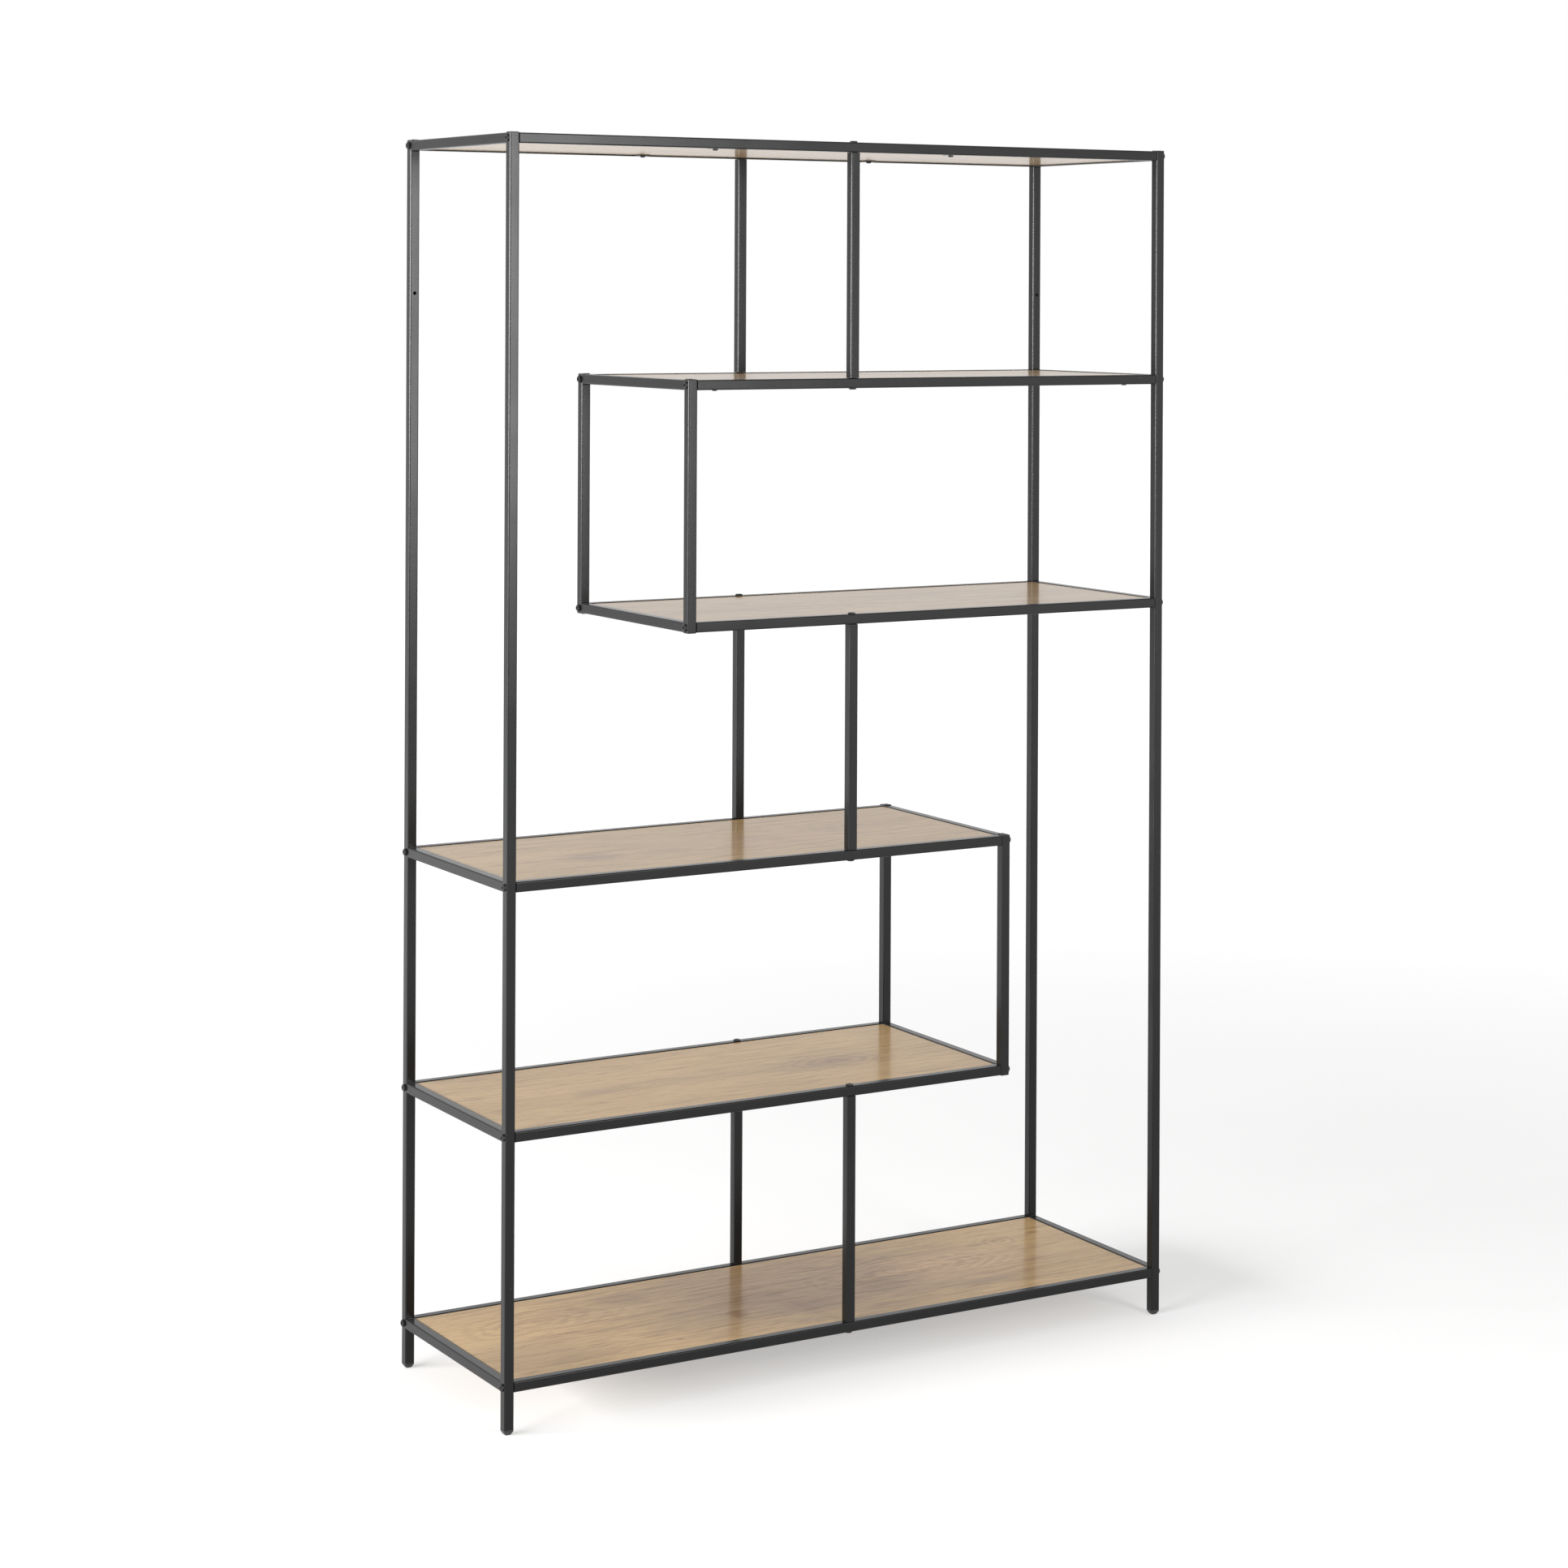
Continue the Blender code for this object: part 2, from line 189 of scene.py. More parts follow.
def join(name, pieces):
    """One object out of several pieces."""
    clear_selection()
    for piece in pieces:
        piece.select_set(True)
    bpy.context.view_layer.objects.active = pieces[0]
    bpy.ops.object.join()
    pieces[0].name = pieces[0].data.name = name
    return pieces[0]


# %% [markdown]
# ## Sizes read from the frame
#
# Everything that is placed later hangs on a few boxes: the tall post gives the size of the
# tube, the rungs give the shelves' heights, and the posts give both ends of every rail.

# %% Read the tube size, the shelf heights and the bays
post_low, post_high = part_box("left_side_front_post")
tube = post_high.x - post_low.x
tube_wall = 0.0012
corner = 0.002
corner_segments = 6
seam = 0.0003
top_of_posts = post_high.z

shelf_ends = {
    1: ("left_side", "right_side"),
    2: ("left_side", "lower_short_frame"),
    3: ("left_side", "lower_short_frame"),
    4: ("upper_short_frame", "right_side"),
    5: ("upper_short_frame", "right_side"),
    6: ("left_side", "right_side"),
}
shelf_z = {}
for shelf, (left_frame, right_frame) in shelf_ends.items():
    side = "left_side" if left_frame == "left_side" else "right_side"
    rung_low, rung_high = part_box(f"{side}_rung_{shelf}")
    shelf_z[shelf] = (rung_low.z, rung_high.z)
front_y = (post_low.y, post_high.y)
rear_y = tuple(corner_point.y for corner_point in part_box("left_side_rear_post"))
row_y = {"front": front_y, "rear": rear_y}
print("tube:", round(tube * 1000, 2), "mm")
print("shelf tops:", [round(top, 3) for bottom, top in shelf_z.values()])

# %% [markdown]
# ## Helpers for materials
#
# Every finish is built from nodes. A texture takes Object coordinates: since each finished
# object sits at the origin, unturned and unscaled, these are metres on the unit itself, and
# a grain of half a millimetre is written as a scale of 2000.

# %% Helpers that start a material and add a node
def new_material(name):
    """An empty material: its node tree and its Principled shader."""
    material = bpy.data.materials.new(name)
    material.use_nodes = True
    tree = material.node_tree
    shader = tree.nodes["Principled BSDF"]
    return material, tree, shader


def add_node(tree, kind, values=(), **settings):
    """A node with its sockets and its own settings filled in."""
    node = tree.nodes.new(kind)
    for name, value in settings.items():
        setattr(node, name, value)
    for socket, value in dict(values).items():
        node.inputs[socket].default_value = value
    return node


def object_coordinates(tree, stretch):
    """Object coordinates in metres, each axis multiplied by its stretch."""
    place = add_node(tree, "ShaderNodeTexCoord")
    mapping = add_node(tree, "ShaderNodeMapping", {"Scale": stretch})
    tree.links.new(place.outputs["Object"], mapping.inputs["Vector"])
    return mapping.outputs["Vector"]


# %% Helpers that add a noise, a range, a sum, a mix and a bump
def add_noise(tree, vector, scale, detail=3.0, roughness=0.55):
    """A noise as a number from zero to one, with its cells 1 / scale across."""
    values = {"Scale": scale, "Detail": detail, "Roughness": roughness}
    noise = add_node(tree, "ShaderNodeTexNoise", values)
    tree.links.new(vector, noise.inputs["Vector"])
    return noise.outputs["Fac"]


def add_range(tree, value, low, high, to_low=0.0, to_high=1.0):
    """Maps the stretch from low to high smoothly onto to_low to to_high."""
    values = {"From Min": low, "From Max": high, "To Min": to_low, "To Max": to_high}
    node = add_node(tree, "ShaderNodeMapRange", values, interpolation_type="SMOOTHSTEP")
    tree.links.new(value, node.inputs["Value"])
    return node.outputs["Result"]


def add_math(tree, operation, first, second):
    """One operation on two values, each a number or a socket."""
    node = add_node(tree, "ShaderNodeMath", operation=operation)
    for index, value in enumerate((first, second)):
        if isinstance(value, float):
            node.inputs[index].default_value = value
        else:
            tree.links.new(value, node.inputs[index])
    return node.outputs["Value"]


def add_mix(tree, share, first, second, blend="MIX"):
    """Two colours mixed or blended by a share; each of the three may also be a socket."""
    node = add_node(tree, "ShaderNodeMix", data_type="RGBA", blend_type=blend)
    for socket, value in ((0, share), (6, first), (7, second)):
        if isinstance(value, (float, tuple)):
            node.inputs[socket].default_value = value
        else:
            tree.links.new(value, node.inputs[socket])
    return node.outputs[2]


def add_bump(tree, shader, height, strength, distance):
    """Fine relief on a shader: a height of one stands out by the distance, in metres."""
    bump = add_node(tree, "ShaderNodeBump", {"Strength": strength, "Distance": distance})
    tree.links.new(height, bump.inputs["Height"])
    tree.links.new(bump.outputs["Normal"], shader.inputs["Normal"])


# %% [markdown]
# ## The coated steel
#
# The tube is powder-coated: the powder melts into a hard black skin that flows almost
# smooth but keeps a faint orange peel, about a millimetre across. Nearly all the light that
# comes off it is reflection, so the colour is close to black and the roughness does the
# work: low enough to show soft lights along the rolled corners, and uneven by a little.
# Here and there a grain of dust sits in the skin and catches the light.

# %% Make the frame coating
no_stretch = (1.0, 1.0, 1.0)
coating_dark = (0.0034, 0.0036, 0.0038, 1.0)
coating_pale = (0.0060, 0.0062, 0.0063, 1.0)
dust_colour = (0.20, 0.20, 0.19, 1.0)


def make_frame_coating():
    material, tree, shader = new_material("frame_coating")
    metres = object_coordinates(tree, no_stretch)
    cloud = add_noise(tree, metres, scale=14.0)
    peel = add_noise(tree, metres, scale=900.0, detail=2.0)
    colour = add_mix(tree, cloud, coating_dark, coating_pale)
    grains = add_node(tree, "ShaderNodeTexVoronoi", {"Scale": 45.0}, distance="EUCLIDEAN")
    tree.links.new(metres, grains.inputs["Vector"])
    away = grains.outputs["Distance"]
    grain_share = add_range(tree, away, low=0.012, high=0.024, to_low=0.8, to_high=0.0)
    colour = add_mix(tree, grain_share, colour, dust_colour)
    tree.links.new(colour, shader.inputs["Base Color"])
    roughness = add_range(tree, cloud, low=0.3, high=0.7, to_low=0.220, to_high=0.260)
    tree.links.new(roughness, shader.inputs["Roughness"])
    shader.inputs["Specular IOR Level"].default_value = 0.28
    add_bump(tree, shader, peel, strength=0.012, distance=0.0002)
    return material


frame_coating = make_frame_coating()
print(frame_coating.name, "nodes:", len(frame_coating.node_tree.nodes))

# %% [markdown]
# ## The oak-look boards
#
# The boards are faced with a printed oak foil under a thin satin lacquer. Oak shows several
# things at once: broad changes of tone, streaks that run along the grain, short dark pores,
# nested arches where the saw met a growth ring, and smoky smudges near a knot. The streaks
# and pores are noises drawn out along X, because the grain runs the length of the shelf. The
# six boards lie at different heights, so each one cuts another slice of the noise.
#
# The broad tones are mixed into one another. The broad, strong grey patch in the middle of the
# bottom board is painted shade, the darkening under the shelf above. Streaks, arches, smudges
# and pores are tints that multiply what lies under them, so they darken a grey patch as much
# as a pale one.
#
# The lacquer is a clear coat over a duller foil. Looked at from above it hardly shows, and
# along the board it mirrors more and more: a post is mirrored crisply where it stands and
# fades away from there, because the foil under the coat blurs its share of the reflection.
#
# The arches and smudges are listed one by one. Each has coordinates of its own, which are zero
# at its middle and one at its reach, and a noise makes their outline wander.

# %% Helpers for the grain
def add_wander(tree, length, width, amount, detail=4.0):
    """A vector that wanders about zero by up to this much, in steps drawn out along X."""
    stretched = object_coordinates(tree, (1.0 / length, 1.0 / width, 1.0 / width))
    values = {"Scale": 1.0, "Detail": detail, "Roughness": 0.6}
    noise = add_node(tree, "ShaderNodeTexNoise", values)
    tree.links.new(stretched, noise.inputs["Vector"])
    centred = add_node(tree, "ShaderNodeVectorMath", {1: (0.5, 0.5, 0.5)}, operation="SUBTRACT")
    tree.links.new(noise.outputs["Color"], centred.inputs[0])
    scaled = add_node(tree, "ShaderNodeVectorMath", {1: amount}, operation="MULTIPLY")
    tree.links.new(centred.outputs[0], scaled.inputs[0])
    return scaled.outputs[0]


def add_bent_grain(tree):
    """Object coordinates whose Y sways slowly to and fro along X, as the grain does."""
    place = add_node(tree, "ShaderNodeTexCoord")
    sway = add_wander(tree, length=0.16, width=0.05, amount=(0.0, 0.030, 0.0), detail=1.0)
    bent = add_node(tree, "ShaderNodeVectorMath", operation="ADD")
    tree.links.new(place.outputs["Object"], bent.inputs[0])
    tree.links.new(sway, bent.inputs[1])
    return bent.outputs[0]


def add_streaks(tree, grain, length, width, low, high, detail=4.0):
    """Streaks of about this length along the grain and this width across, in metres."""
    stretch = {1: (1.0 / length, 1.0 / width, 1.0 / width)}
    stretched = add_node(tree, "ShaderNodeVectorMath", stretch, operation="MULTIPLY")
    tree.links.new(grain, stretched.inputs[0])
    noise = add_noise(tree, stretched.outputs[0], scale=1.0, detail=detail, roughness=0.6)
    return add_range(tree, noise, low, high)


# %% Helpers for marks in the grain
mark_depth = 0.05
# at this scale the Wave node draws one ring within a mark's reach
ring_scale = 0.314


def add_mark_coordinates(tree, middle, reach, wander):
    """Coordinates that are zero at a mark's middle and one at its reach."""
    place = add_node(tree, "ShaderNodeTexCoord")
    values = {"Location": middle, "Scale": reach}
    mapping = add_node(tree, "ShaderNodeMapping", values, vector_type="TEXTURE")
    tree.links.new(place.outputs["Object"], mapping.inputs["Vector"])
    moved = add_node(tree, "ShaderNodeVectorMath", operation="ADD")
    tree.links.new(mapping.outputs["Vector"], moved.inputs[0])
    tree.links.new(wander, moved.inputs[1])
    return moved.outputs[0]


def add_mark(tree, local, strength):
    """A soft round share in a mark's coordinates, strongest in the middle."""
    fade = add_node(tree, "ShaderNodeTexGradient", gradient_type="SPHERICAL")
    tree.links.new(local, fade.inputs["Vector"])
    return add_range(tree, fade.outputs["Fac"], low=0.0, high=0.75, to_high=strength)


def add_marks(tree, marks, wander):
    """The shares of several marks added up, each a row of one of the lists below."""
    total = 0.0
    for shelf, x, y, reach_x, reach_y, strength in marks:
        middle = (x, y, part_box(f"shelf_{shelf}_board")[1].z)
        local = add_mark_coordinates(tree, middle, (reach_x, reach_y, mark_depth), wander)
        total = add_math(tree, "ADD", add_mark(tree, local, strength), total)
    return total


def add_arches(tree, shelf, x, y, reach_x, reach_y, rings, strength, wander):
    """Nested rings, long in the grain's direction, that fade out towards their reach."""
    middle = (x, y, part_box(f"shelf_{shelf}_board")[1].z)
    local = add_mark_coordinates(tree, middle, (reach_x, reach_y, mark_depth), wander)
    values = {"Scale": rings * ring_scale, "Distortion": 1.5, "Detail": 2.0, "Detail Scale": 2.0}
    lines = add_node(
        tree, "ShaderNodeTexWave", values, wave_type="RINGS", rings_direction="SPHERICAL"
    )
    tree.links.new(local, lines.inputs["Vector"])
    dark = add_range(tree, lines.outputs["Fac"], low=0.25, high=0.95)
    return add_math(tree, "MULTIPLY", dark, add_mark(tree, local, strength))


# %% Place the marks
# shelf, middle along X and Y and reach along X and Y in metres, strength
smoke_marks = [
    (1, -0.249, 0.098, 0.065, 0.034, 0.50),
    (1, -0.185, 0.091, 0.110, 0.020, 0.20),
    (1, -0.311, 0.088, 0.110, 0.034, 0.18),
    (1, 0.001, -0.069, 0.060, 0.036, 0.38),
    (1, 0.136, -0.045, 0.070, 0.028, 0.14),
    (2, -0.355, -0.019, 0.050, 0.030, 0.52),
    (2, -0.303, -0.013, 0.040, 0.022, 0.40),
    (2, -0.190, -0.006, 0.160, 0.026, 0.26),
    (2, -0.524, 0.030, 0.030, 0.016, 0.30),
    (2, 0.068, -0.022, 0.070, 0.040, 0.30),
    (3, -0.367, -0.038, 0.075, 0.048, 0.72),
    (3, -0.240, -0.043, 0.075, 0.034, 0.40),
    (3, -0.070, 0.003, 0.065, 0.024, 0.34),
    (4, 0.380, -0.042, 0.060, 0.014, 0.60),
    (4, -0.060, 0.020, 0.120, 0.030, 0.22),
    (5, 0.120, 0.030, 0.090, 0.030, 0.35),
    (6, -0.200, 0.020, 0.090, 0.034, 0.40),
]
# grey patches: the first, broad and strong in the middle of the bottom board, is painted shade,
# the darkening under the shelf above; the others are grey tone in the foil
grey_and_shade_marks = [
    (1, 0.010, 0.010, 0.480, 0.300, 0.92),
    (1, -0.490, -0.090, 0.170, 0.120, 0.52),
    (1, 0.430, -0.030, 0.240, 0.200, 0.22),
    (1, -0.010, -0.045, 0.110, 0.070, 0.62),
    (1, 0.120, -0.050, 0.110, 0.045, 0.45),
    (1, 0.300, -0.100, 0.100, 0.022, 0.45),
    (2, 0.030, -0.020, 0.160, 0.060, 0.40),
    (3, 0.080, 0.020, 0.180, 0.060, 0.30),
    (4, 0.200, 0.040, 0.220, 0.060, 0.30),
]
rosy_marks = [
    (1, 0.310, -0.010, 0.170, 0.110, 0.60),
    (3, 0.000, -0.020, 0.200, 0.080, 0.50),
    (5, -0.060, 0.030, 0.240, 0.100, 0.50),
    (6, 0.100, -0.020, 0.260, 0.100, 0.50),
]
knot_marks = [
    (1, -0.125, -0.058, 0.024, 0.028, 0.75),
    (1, -0.095, -0.005, 0.024, 0.022, 0.40),
    (1, -0.045, 0.043, 0.026, 0.005, 0.60),
    (1, 0.387, 0.070, 0.024, 0.005, 0.60),
    (1, 0.513, 0.089, 0.018, 0.010, 0.45),
    (1, 0.430, -0.039, 0.032, 0.006, 0.50),
    (1, -0.260, -0.121, 0.009, 0.006, 0.55),
    (3, -0.420, 0.050, 0.050, 0.005, 0.35),
    (5, -0.120, -0.030, 0.018, 0.012, 0.50),
    (6, 0.260, -0.040, 0.022, 0.014, 0.50),
]
# as above, with the number of rings before the strength
arches = [
    (1, -0.400, 0.055, 0.200, 0.100, 7.0, 0.50),
    (1, 0.225, 0.015, 0.300, 0.110, 9.0, 0.62),
    (1, 0.437, 0.072, 0.050, 0.040, 3.0, 0.85),
    (2, 0.070, -0.020, 0.140, 0.070, 5.0, 0.70),
    (3, 0.180, 0.030, 0.200, 0.080, 7.0, 0.70),
    (4, -0.050, -0.040, 0.240, 0.080, 7.0, 0.70),
    (5, 0.300, 0.020, 0.260, 0.090, 8.0, 0.80),
    (6, -0.330, -0.030, 0.240, 0.090, 8.0, 0.80),
    (6, 0.250, 0.030, 0.220, 0.080, 7.0, 0.80),
]
mark_count = sum(map(len, (smoke_marks, grey_and_shade_marks, rosy_marks, knot_marks)))
print("marks:", mark_count, "arches:", len(arches))

# %% Mix the colour of the oak foil
pale_oak = (0.546, 0.368, 0.171, 1.0)
deep_oak = (0.457, 0.300, 0.132, 1.0)
# the grey of the foil's grey patches, and of the painted shade in the middle of the bottom board
grey_and_shaded_oak = (0.272, 0.178, 0.094, 1.0)
rosy_oak = (0.525, 0.336, 0.192, 1.0)
knot_brown = (0.175, 0.088, 0.036, 1.0)
line_tint = (0.700, 0.640, 0.600, 1.0)
smoke_tint = (0.550, 0.490, 0.560, 1.0)
pore_tint = (0.580, 0.530, 0.520, 1.0)
# length, width and share of three layers of lines, from broad to fine
line_layers = ((0.20, 0.013, 0.64), (0.11, 0.0065, 0.66), (0.05, 0.0032, 0.90))
pore_share = 0.55


def add_oak_colour(tree, grain, pores):
    """The foil's colour, from its broad tones and the painted shade under the shelf above to its
    pores.
    """
    change = add_streaks(tree, grain, length=0.70, width=0.14, low=0.32, high=0.68, detail=2.0)
    colour = add_mix(tree, change, pale_oak, deep_oak)
    wander = add_wander(tree, length=0.09, width=0.014, amount=(0.9, 0.9, 0.9))
    # grey tone in the foil, and painted shade in the middle of the bottom board
    colour = add_mix(tree, add_marks(tree, grey_and_shade_marks, wander), colour, grey_and_shaded_oak)
    colour = add_mix(tree, add_marks(tree, rosy_marks, wander), colour, rosy_oak)
    for length, width, share in line_layers:
        lines = add_streaks(tree, grain, length, width, low=0.48, high=0.71)
        line_share = add_math(tree, "MULTIPLY", lines, share)
        colour = add_mix(tree, line_share, colour, line_tint, blend="MULTIPLY")
    ring_wander = add_wander(tree, length=0.12, width=0.035, amount=(0.5, 0.5, 0.5))
    for arch in arches:
        rings = add_arches(tree, *arch, ring_wander)
        colour = add_mix(tree, rings, colour, line_tint, blend="MULTIPLY")
    smoke = add_marks(tree, smoke_marks, wander)
    colour = add_mix(tree, smoke, colour, smoke_tint, blend="MULTIPLY")
    colour = add_mix(tree, add_marks(tree, knot_marks, wander), colour, knot_brown)
    pored = add_math(tree, "MULTIPLY", pores, pore_share)
    return add_mix(tree, pored, colour, pore_tint, blend="MULTIPLY")


# %% Make the oak foil under its lacquer
def make_oak_board():
    material, tree, shader = new_material("oak_board")
    grain = add_bent_grain(tree)
    pores = add_streaks(
        tree, grain, length=0.016, width=0.0006, low=0.56, high=0.74, detail=1.0
    )
    tree.links.new(add_oak_colour(tree, grain, pores), shader.inputs["Base Color"])
    roughness = add_range(tree, pores, low=0.0, high=1.0, to_low=0.40, to_high=0.48)
    tree.links.new(roughness, shader.inputs["Roughness"])
    shader.inputs["Specular IOR Level"].default_value = 0.12
    shader.inputs["Coat Weight"].default_value = 0.65
    shader.inputs["Coat Roughness"].default_value = 0.14
    shader.inputs["Coat IOR"].default_value = 1.17
    add_bump(tree, shader, pores, strength=0.06, distance=0.0001)
    return material


oak_board = make_oak_board()
print(oak_board.name, "nodes:", len(oak_board.node_tree.nodes))

# %% [markdown]
# ## The black plastic and the bolts
#
# The end caps and the glides are moulded in black plastic with a fine even grain, duller
# than the coating. The bolts are blackened steel. The black is an oxide skin that hides the
# bright metal, so the shader is a dark one with a modest gloss and not a metallic one: a
# metallic head would stand out on its post as a white dot.

# %% Make the plastic and the blackened steel
plastic_dark = (0.011, 0.011, 0.012, 1.0)
plastic_pale = (0.020, 0.020, 0.021, 1.0)
steel_dark = (0.008, 0.008, 0.009, 1.0)
steel_pale = (0.016, 0.016, 0.016, 1.0)


def make_black_plastic():
    material, tree, shader = new_material("black_plastic")
    metres = object_coordinates(tree, no_stretch)
    grain = add_noise(tree, metres, scale=2600.0, detail=1.0)
    colour = add_mix(tree, grain, plastic_dark, plastic_pale)
    tree.links.new(colour, shader.inputs["Base Color"])
    roughness = add_range(tree, grain, low=0.3, high=0.7, to_low=0.44, to_high=0.56)
    tree.links.new(roughness, shader.inputs["Roughness"])
    add_bump(tree, shader, grain, strength=0.15, distance=0.0001)
    return material


def make_black_steel():
    material, tree, shader = new_material("blackened_steel")
    metres = object_coordinates(tree, no_stretch)
    bloom = add_noise(tree, metres, scale=420.0)
    colour = add_mix(tree, bloom, steel_dark, steel_pale)
    tree.links.new(colour, shader.inputs["Base Color"])
    roughness = add_range(tree, bloom, low=0.3, high=0.7, to_low=0.30, to_high=0.42)
    tree.links.new(roughness, shader.inputs["Roughness"])
    shader.inputs["Specular IOR Level"].default_value = 0.35
    add_bump(tree, shader, bloom, strength=0.08, distance=0.0001)
    return material


black_plastic = make_black_plastic()
black_steel = make_black_steel()
print("finishes:", black_plastic.name, "and", black_steel.name)

# %% [markdown]
# ## Where each piece belongs
#
# A finished piece gets its material and says which CAD nodes it stands for, if any; the rest
# is trim on them. Nothing on the unit moves, so every piece rides on the same body. Two
# collections note which pieces are black and which tubes stand upright, because at the end
# the lamps are mirrored in these alone.

# %% A helper that gives a piece its finish and its place
black_pieces = bpy.data.collections.new("black_pieces")
standing_tubes = bpy.data.collections.new("standing_tubes")


def belongs(piece, material, slot, *nodes):
    """Gives a finished piece its finish and its place in the object."""
    piece.data.materials.clear()
    piece.data.materials.append(material)
    if material != oak_board:
        black_pieces.objects.link(piece)
    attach(piece, "root")
    if nodes:
        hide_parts(*nodes)


# %% [markdown]
# ## Square tube
#
# Square tube is rolled from strip, so its long edges are round, here to a radius of two
# millimetres, and its cut ends are deburred. The round edges matter more than anything else
# on this unit: each one carries a thin line of light. A cube is stretched to size, its four
# long edges get a bevel of several segments, and its end edges a much smaller one.

# %% A helper that makes a length of tube
def add_tube(name, low, high, deburr=0.0):
    """A closed length of square tube between two corners, along its longest side."""
    low, high = Vector(low), Vector(high)
    piece = add_cube(name, low, high)
    size = high - low
    along = max(range(3), key=lambda axis: size[axis])

    def is_long(mesh, edge):
        first, second = (mesh.vertices[index].co for index in edge.vertices)
        return abs(first[along] - second[along]) > size[along] / 2

    def is_at_an_end(mesh, edge):
        places = [mesh.vertices[index].co[along] for index in edge.vertices]
        return max(places) - low[along] < seam or high[along] - min(places) < seam

    edit(piece, "edges", is_long)
    bpy.ops.mesh.bevel(offset=corner, segments=corner_segments, affect="EDGES")
    if deburr:
        edit(piece, "edges", is_at_an_end)
        bpy.ops.mesh.bevel(offset=deburr, segments=2, affect="EDGES")
    bpy.ops.object.mode_set(mode="OBJECT")
    smooth(piece)
    return piece


# %% [markdown]
# ## Posts
#
# Four tall posts stand at the corners and four short ones close the two pairs of short
# shelves. The two tall rear posts have a plain hole near the top, through both walls, for
# the screw that holds the unit to the wall. These two are hollowed first, so that the hole
# opens on a dark bore, and then a thin cylinder drills them.

# %% Make the posts and drill the two rear ones
quarter_turn = math.pi / 2
post_deburr = 0.0003
wall_hole_drop = 0.230
wall_hole_radius = 0.00275
wall_hole_sides = 24
post_names = [
    f"{frame_name}_{row}_post"
    for frame_name in ("left_side", "right_side", "lower_short_frame", "upper_short_frame")
    for row in ("front", "rear")
]
posts = {}
for name in post_names:
    low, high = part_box(name)
    posts[name] = add_tube(f"{name}_tube", low, high, deburr=post_deburr)

for name in ("left_side_rear_post", "right_side_rear_post"):
    low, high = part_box(name)
    middle = (low + high) / 2
    shell = Vector((tube_wall, tube_wall, tube_wall))
    cut(posts[name], add_cube("bore", low + shell, high - shell))
    drill = add_cylinder("drill", wall_hole_radius, -tube, tube, wall_hole_sides)
    drill.rotation_euler = (quarter_turn, 0.0, 0.0)
    drill.location = (middle.x, middle.y, top_of_posts - wall_hole_drop)
    cut(posts[name], drill)
    smooth(posts[name])

for name, post in posts.items():
    belongs(post, frame_coating, "frame_coating", name)
    standing_tubes.objects.link(post)
print("posts:", len(posts))

# %% [markdown]
# ## Rungs and their welds
#
# A rung joins a front post to a rear post, and the two are welded. On the outside the weld
# is ground flush before coating, so rung and post read as one flat piece; inside and on the
# edges a small bead is left. The rung is therefore run on into the rolled corner of each
# post, which closes the groove there, and a rippled bead is laid along the other three sides.

# %% Make one weld bead
bead_radius = 0.0016
bead_length = tube - 2 * corner
bead_sides = 16
ripple_count = 9
ripple_swell = 0.10
end_share = 0.55


def make_bead():
    """A rod along Z whose rings swell and shrink by turns, as a weld's ripples do."""
    bead = add_cylinder("weld_bead", bead_radius, -bead_length / 2, bead_length / 2, bead_sides)
    edit(bead, "edges", lambda mesh, edge: climb(mesh, edge) > bead_length / 2)
    bpy.ops.mesh.subdivide(number_cuts=2 * ripple_count)
    bpy.ops.object.mode_set(mode="OBJECT")
    step = bead_length / (2 * ripple_count + 1)
    for vertex in bead.data.vertices:
        ring = round((vertex.co.z + bead_length / 2) / step)
        at_end = ring in (0, 2 * ripple_count + 1)
        swell = end_share if at_end else 1.0 + ripple_swell * (-1) ** ring
        vertex.co.x *= swell
        vertex.co.y *= swell
    smooth(bead, angle=80.0)
    return bead


bead = make_bead()
print("bead vertices:", len(bead.data.vertices))

# %% Make the rungs and lay their beads
rung_names = [f"left_side_rung_{shelf}" for shelf in (1, 2, 3, 6)]
rung_names += [f"right_side_rung_{shelf}" for shelf in (1, 4, 5, 6)]
rung_names += [
    f"{frame_name}_{end}_rung"
    for frame_name in ("lower_short_frame", "upper_short_frame")
    for end in ("bottom", "top")
]
for name in rung_names:
    low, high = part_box(name)
    low.y = front_y[1] - corner
    high.y = rear_y[0] + corner
    rung = add_tube(f"{name}_tube", low, high)
    belongs(rung, frame_coating, "frame_coating", name)

    middle = (low + high) / 2
    inner_x = high.x if middle.x < 0 else low.x
    beads = []
    for y in (front_y[1], rear_y[0]):
        for z in (low.z, high.z):
            beads.append(copy_to(bead, "bead", (middle.x, y, z), (0.0, quarter_turn, 0.0)))
        beads.append(copy_to(bead, "bead", (inner_x, y, middle.z)))
    weld = join(f"{name}_welds", beads)
    belongs(weld, frame_coating, "frame_coating")
bpy.data.objects.remove(bead)
print("rungs:", len(rung_names))

# %% [markdown]
# ## Rails, uprights and tabs
#
# The rails run from post to post, and the uprights stand between two rails. Both are bolted
# and not welded, so a fine dark seam shows at each end: the frame's own gap of 0.3 mm and
# the deburred end edges make it. Small steel tabs inside the rails carry the boards.

# %% Place and shape a tab
tab_length = 0.020
tab_reach = 0.020
tab_thickness = 0.0015
tab_lift = 0.0002
tab_corner = 0.003
tab_edge = 0.0002
short_rail_tab_inset = 0.043
long_rail_tab_shares = (0.297, 0.667)


def tab_places(shelf, start, end):
    """Places along X of the two tabs on the front rail of this shelf."""
    if shelf in (1, 6):
        return [start + (end - start) * share for share in long_rail_tab_shares]
    return [start + short_rail_tab_inset, end - short_rail_tab_inset]


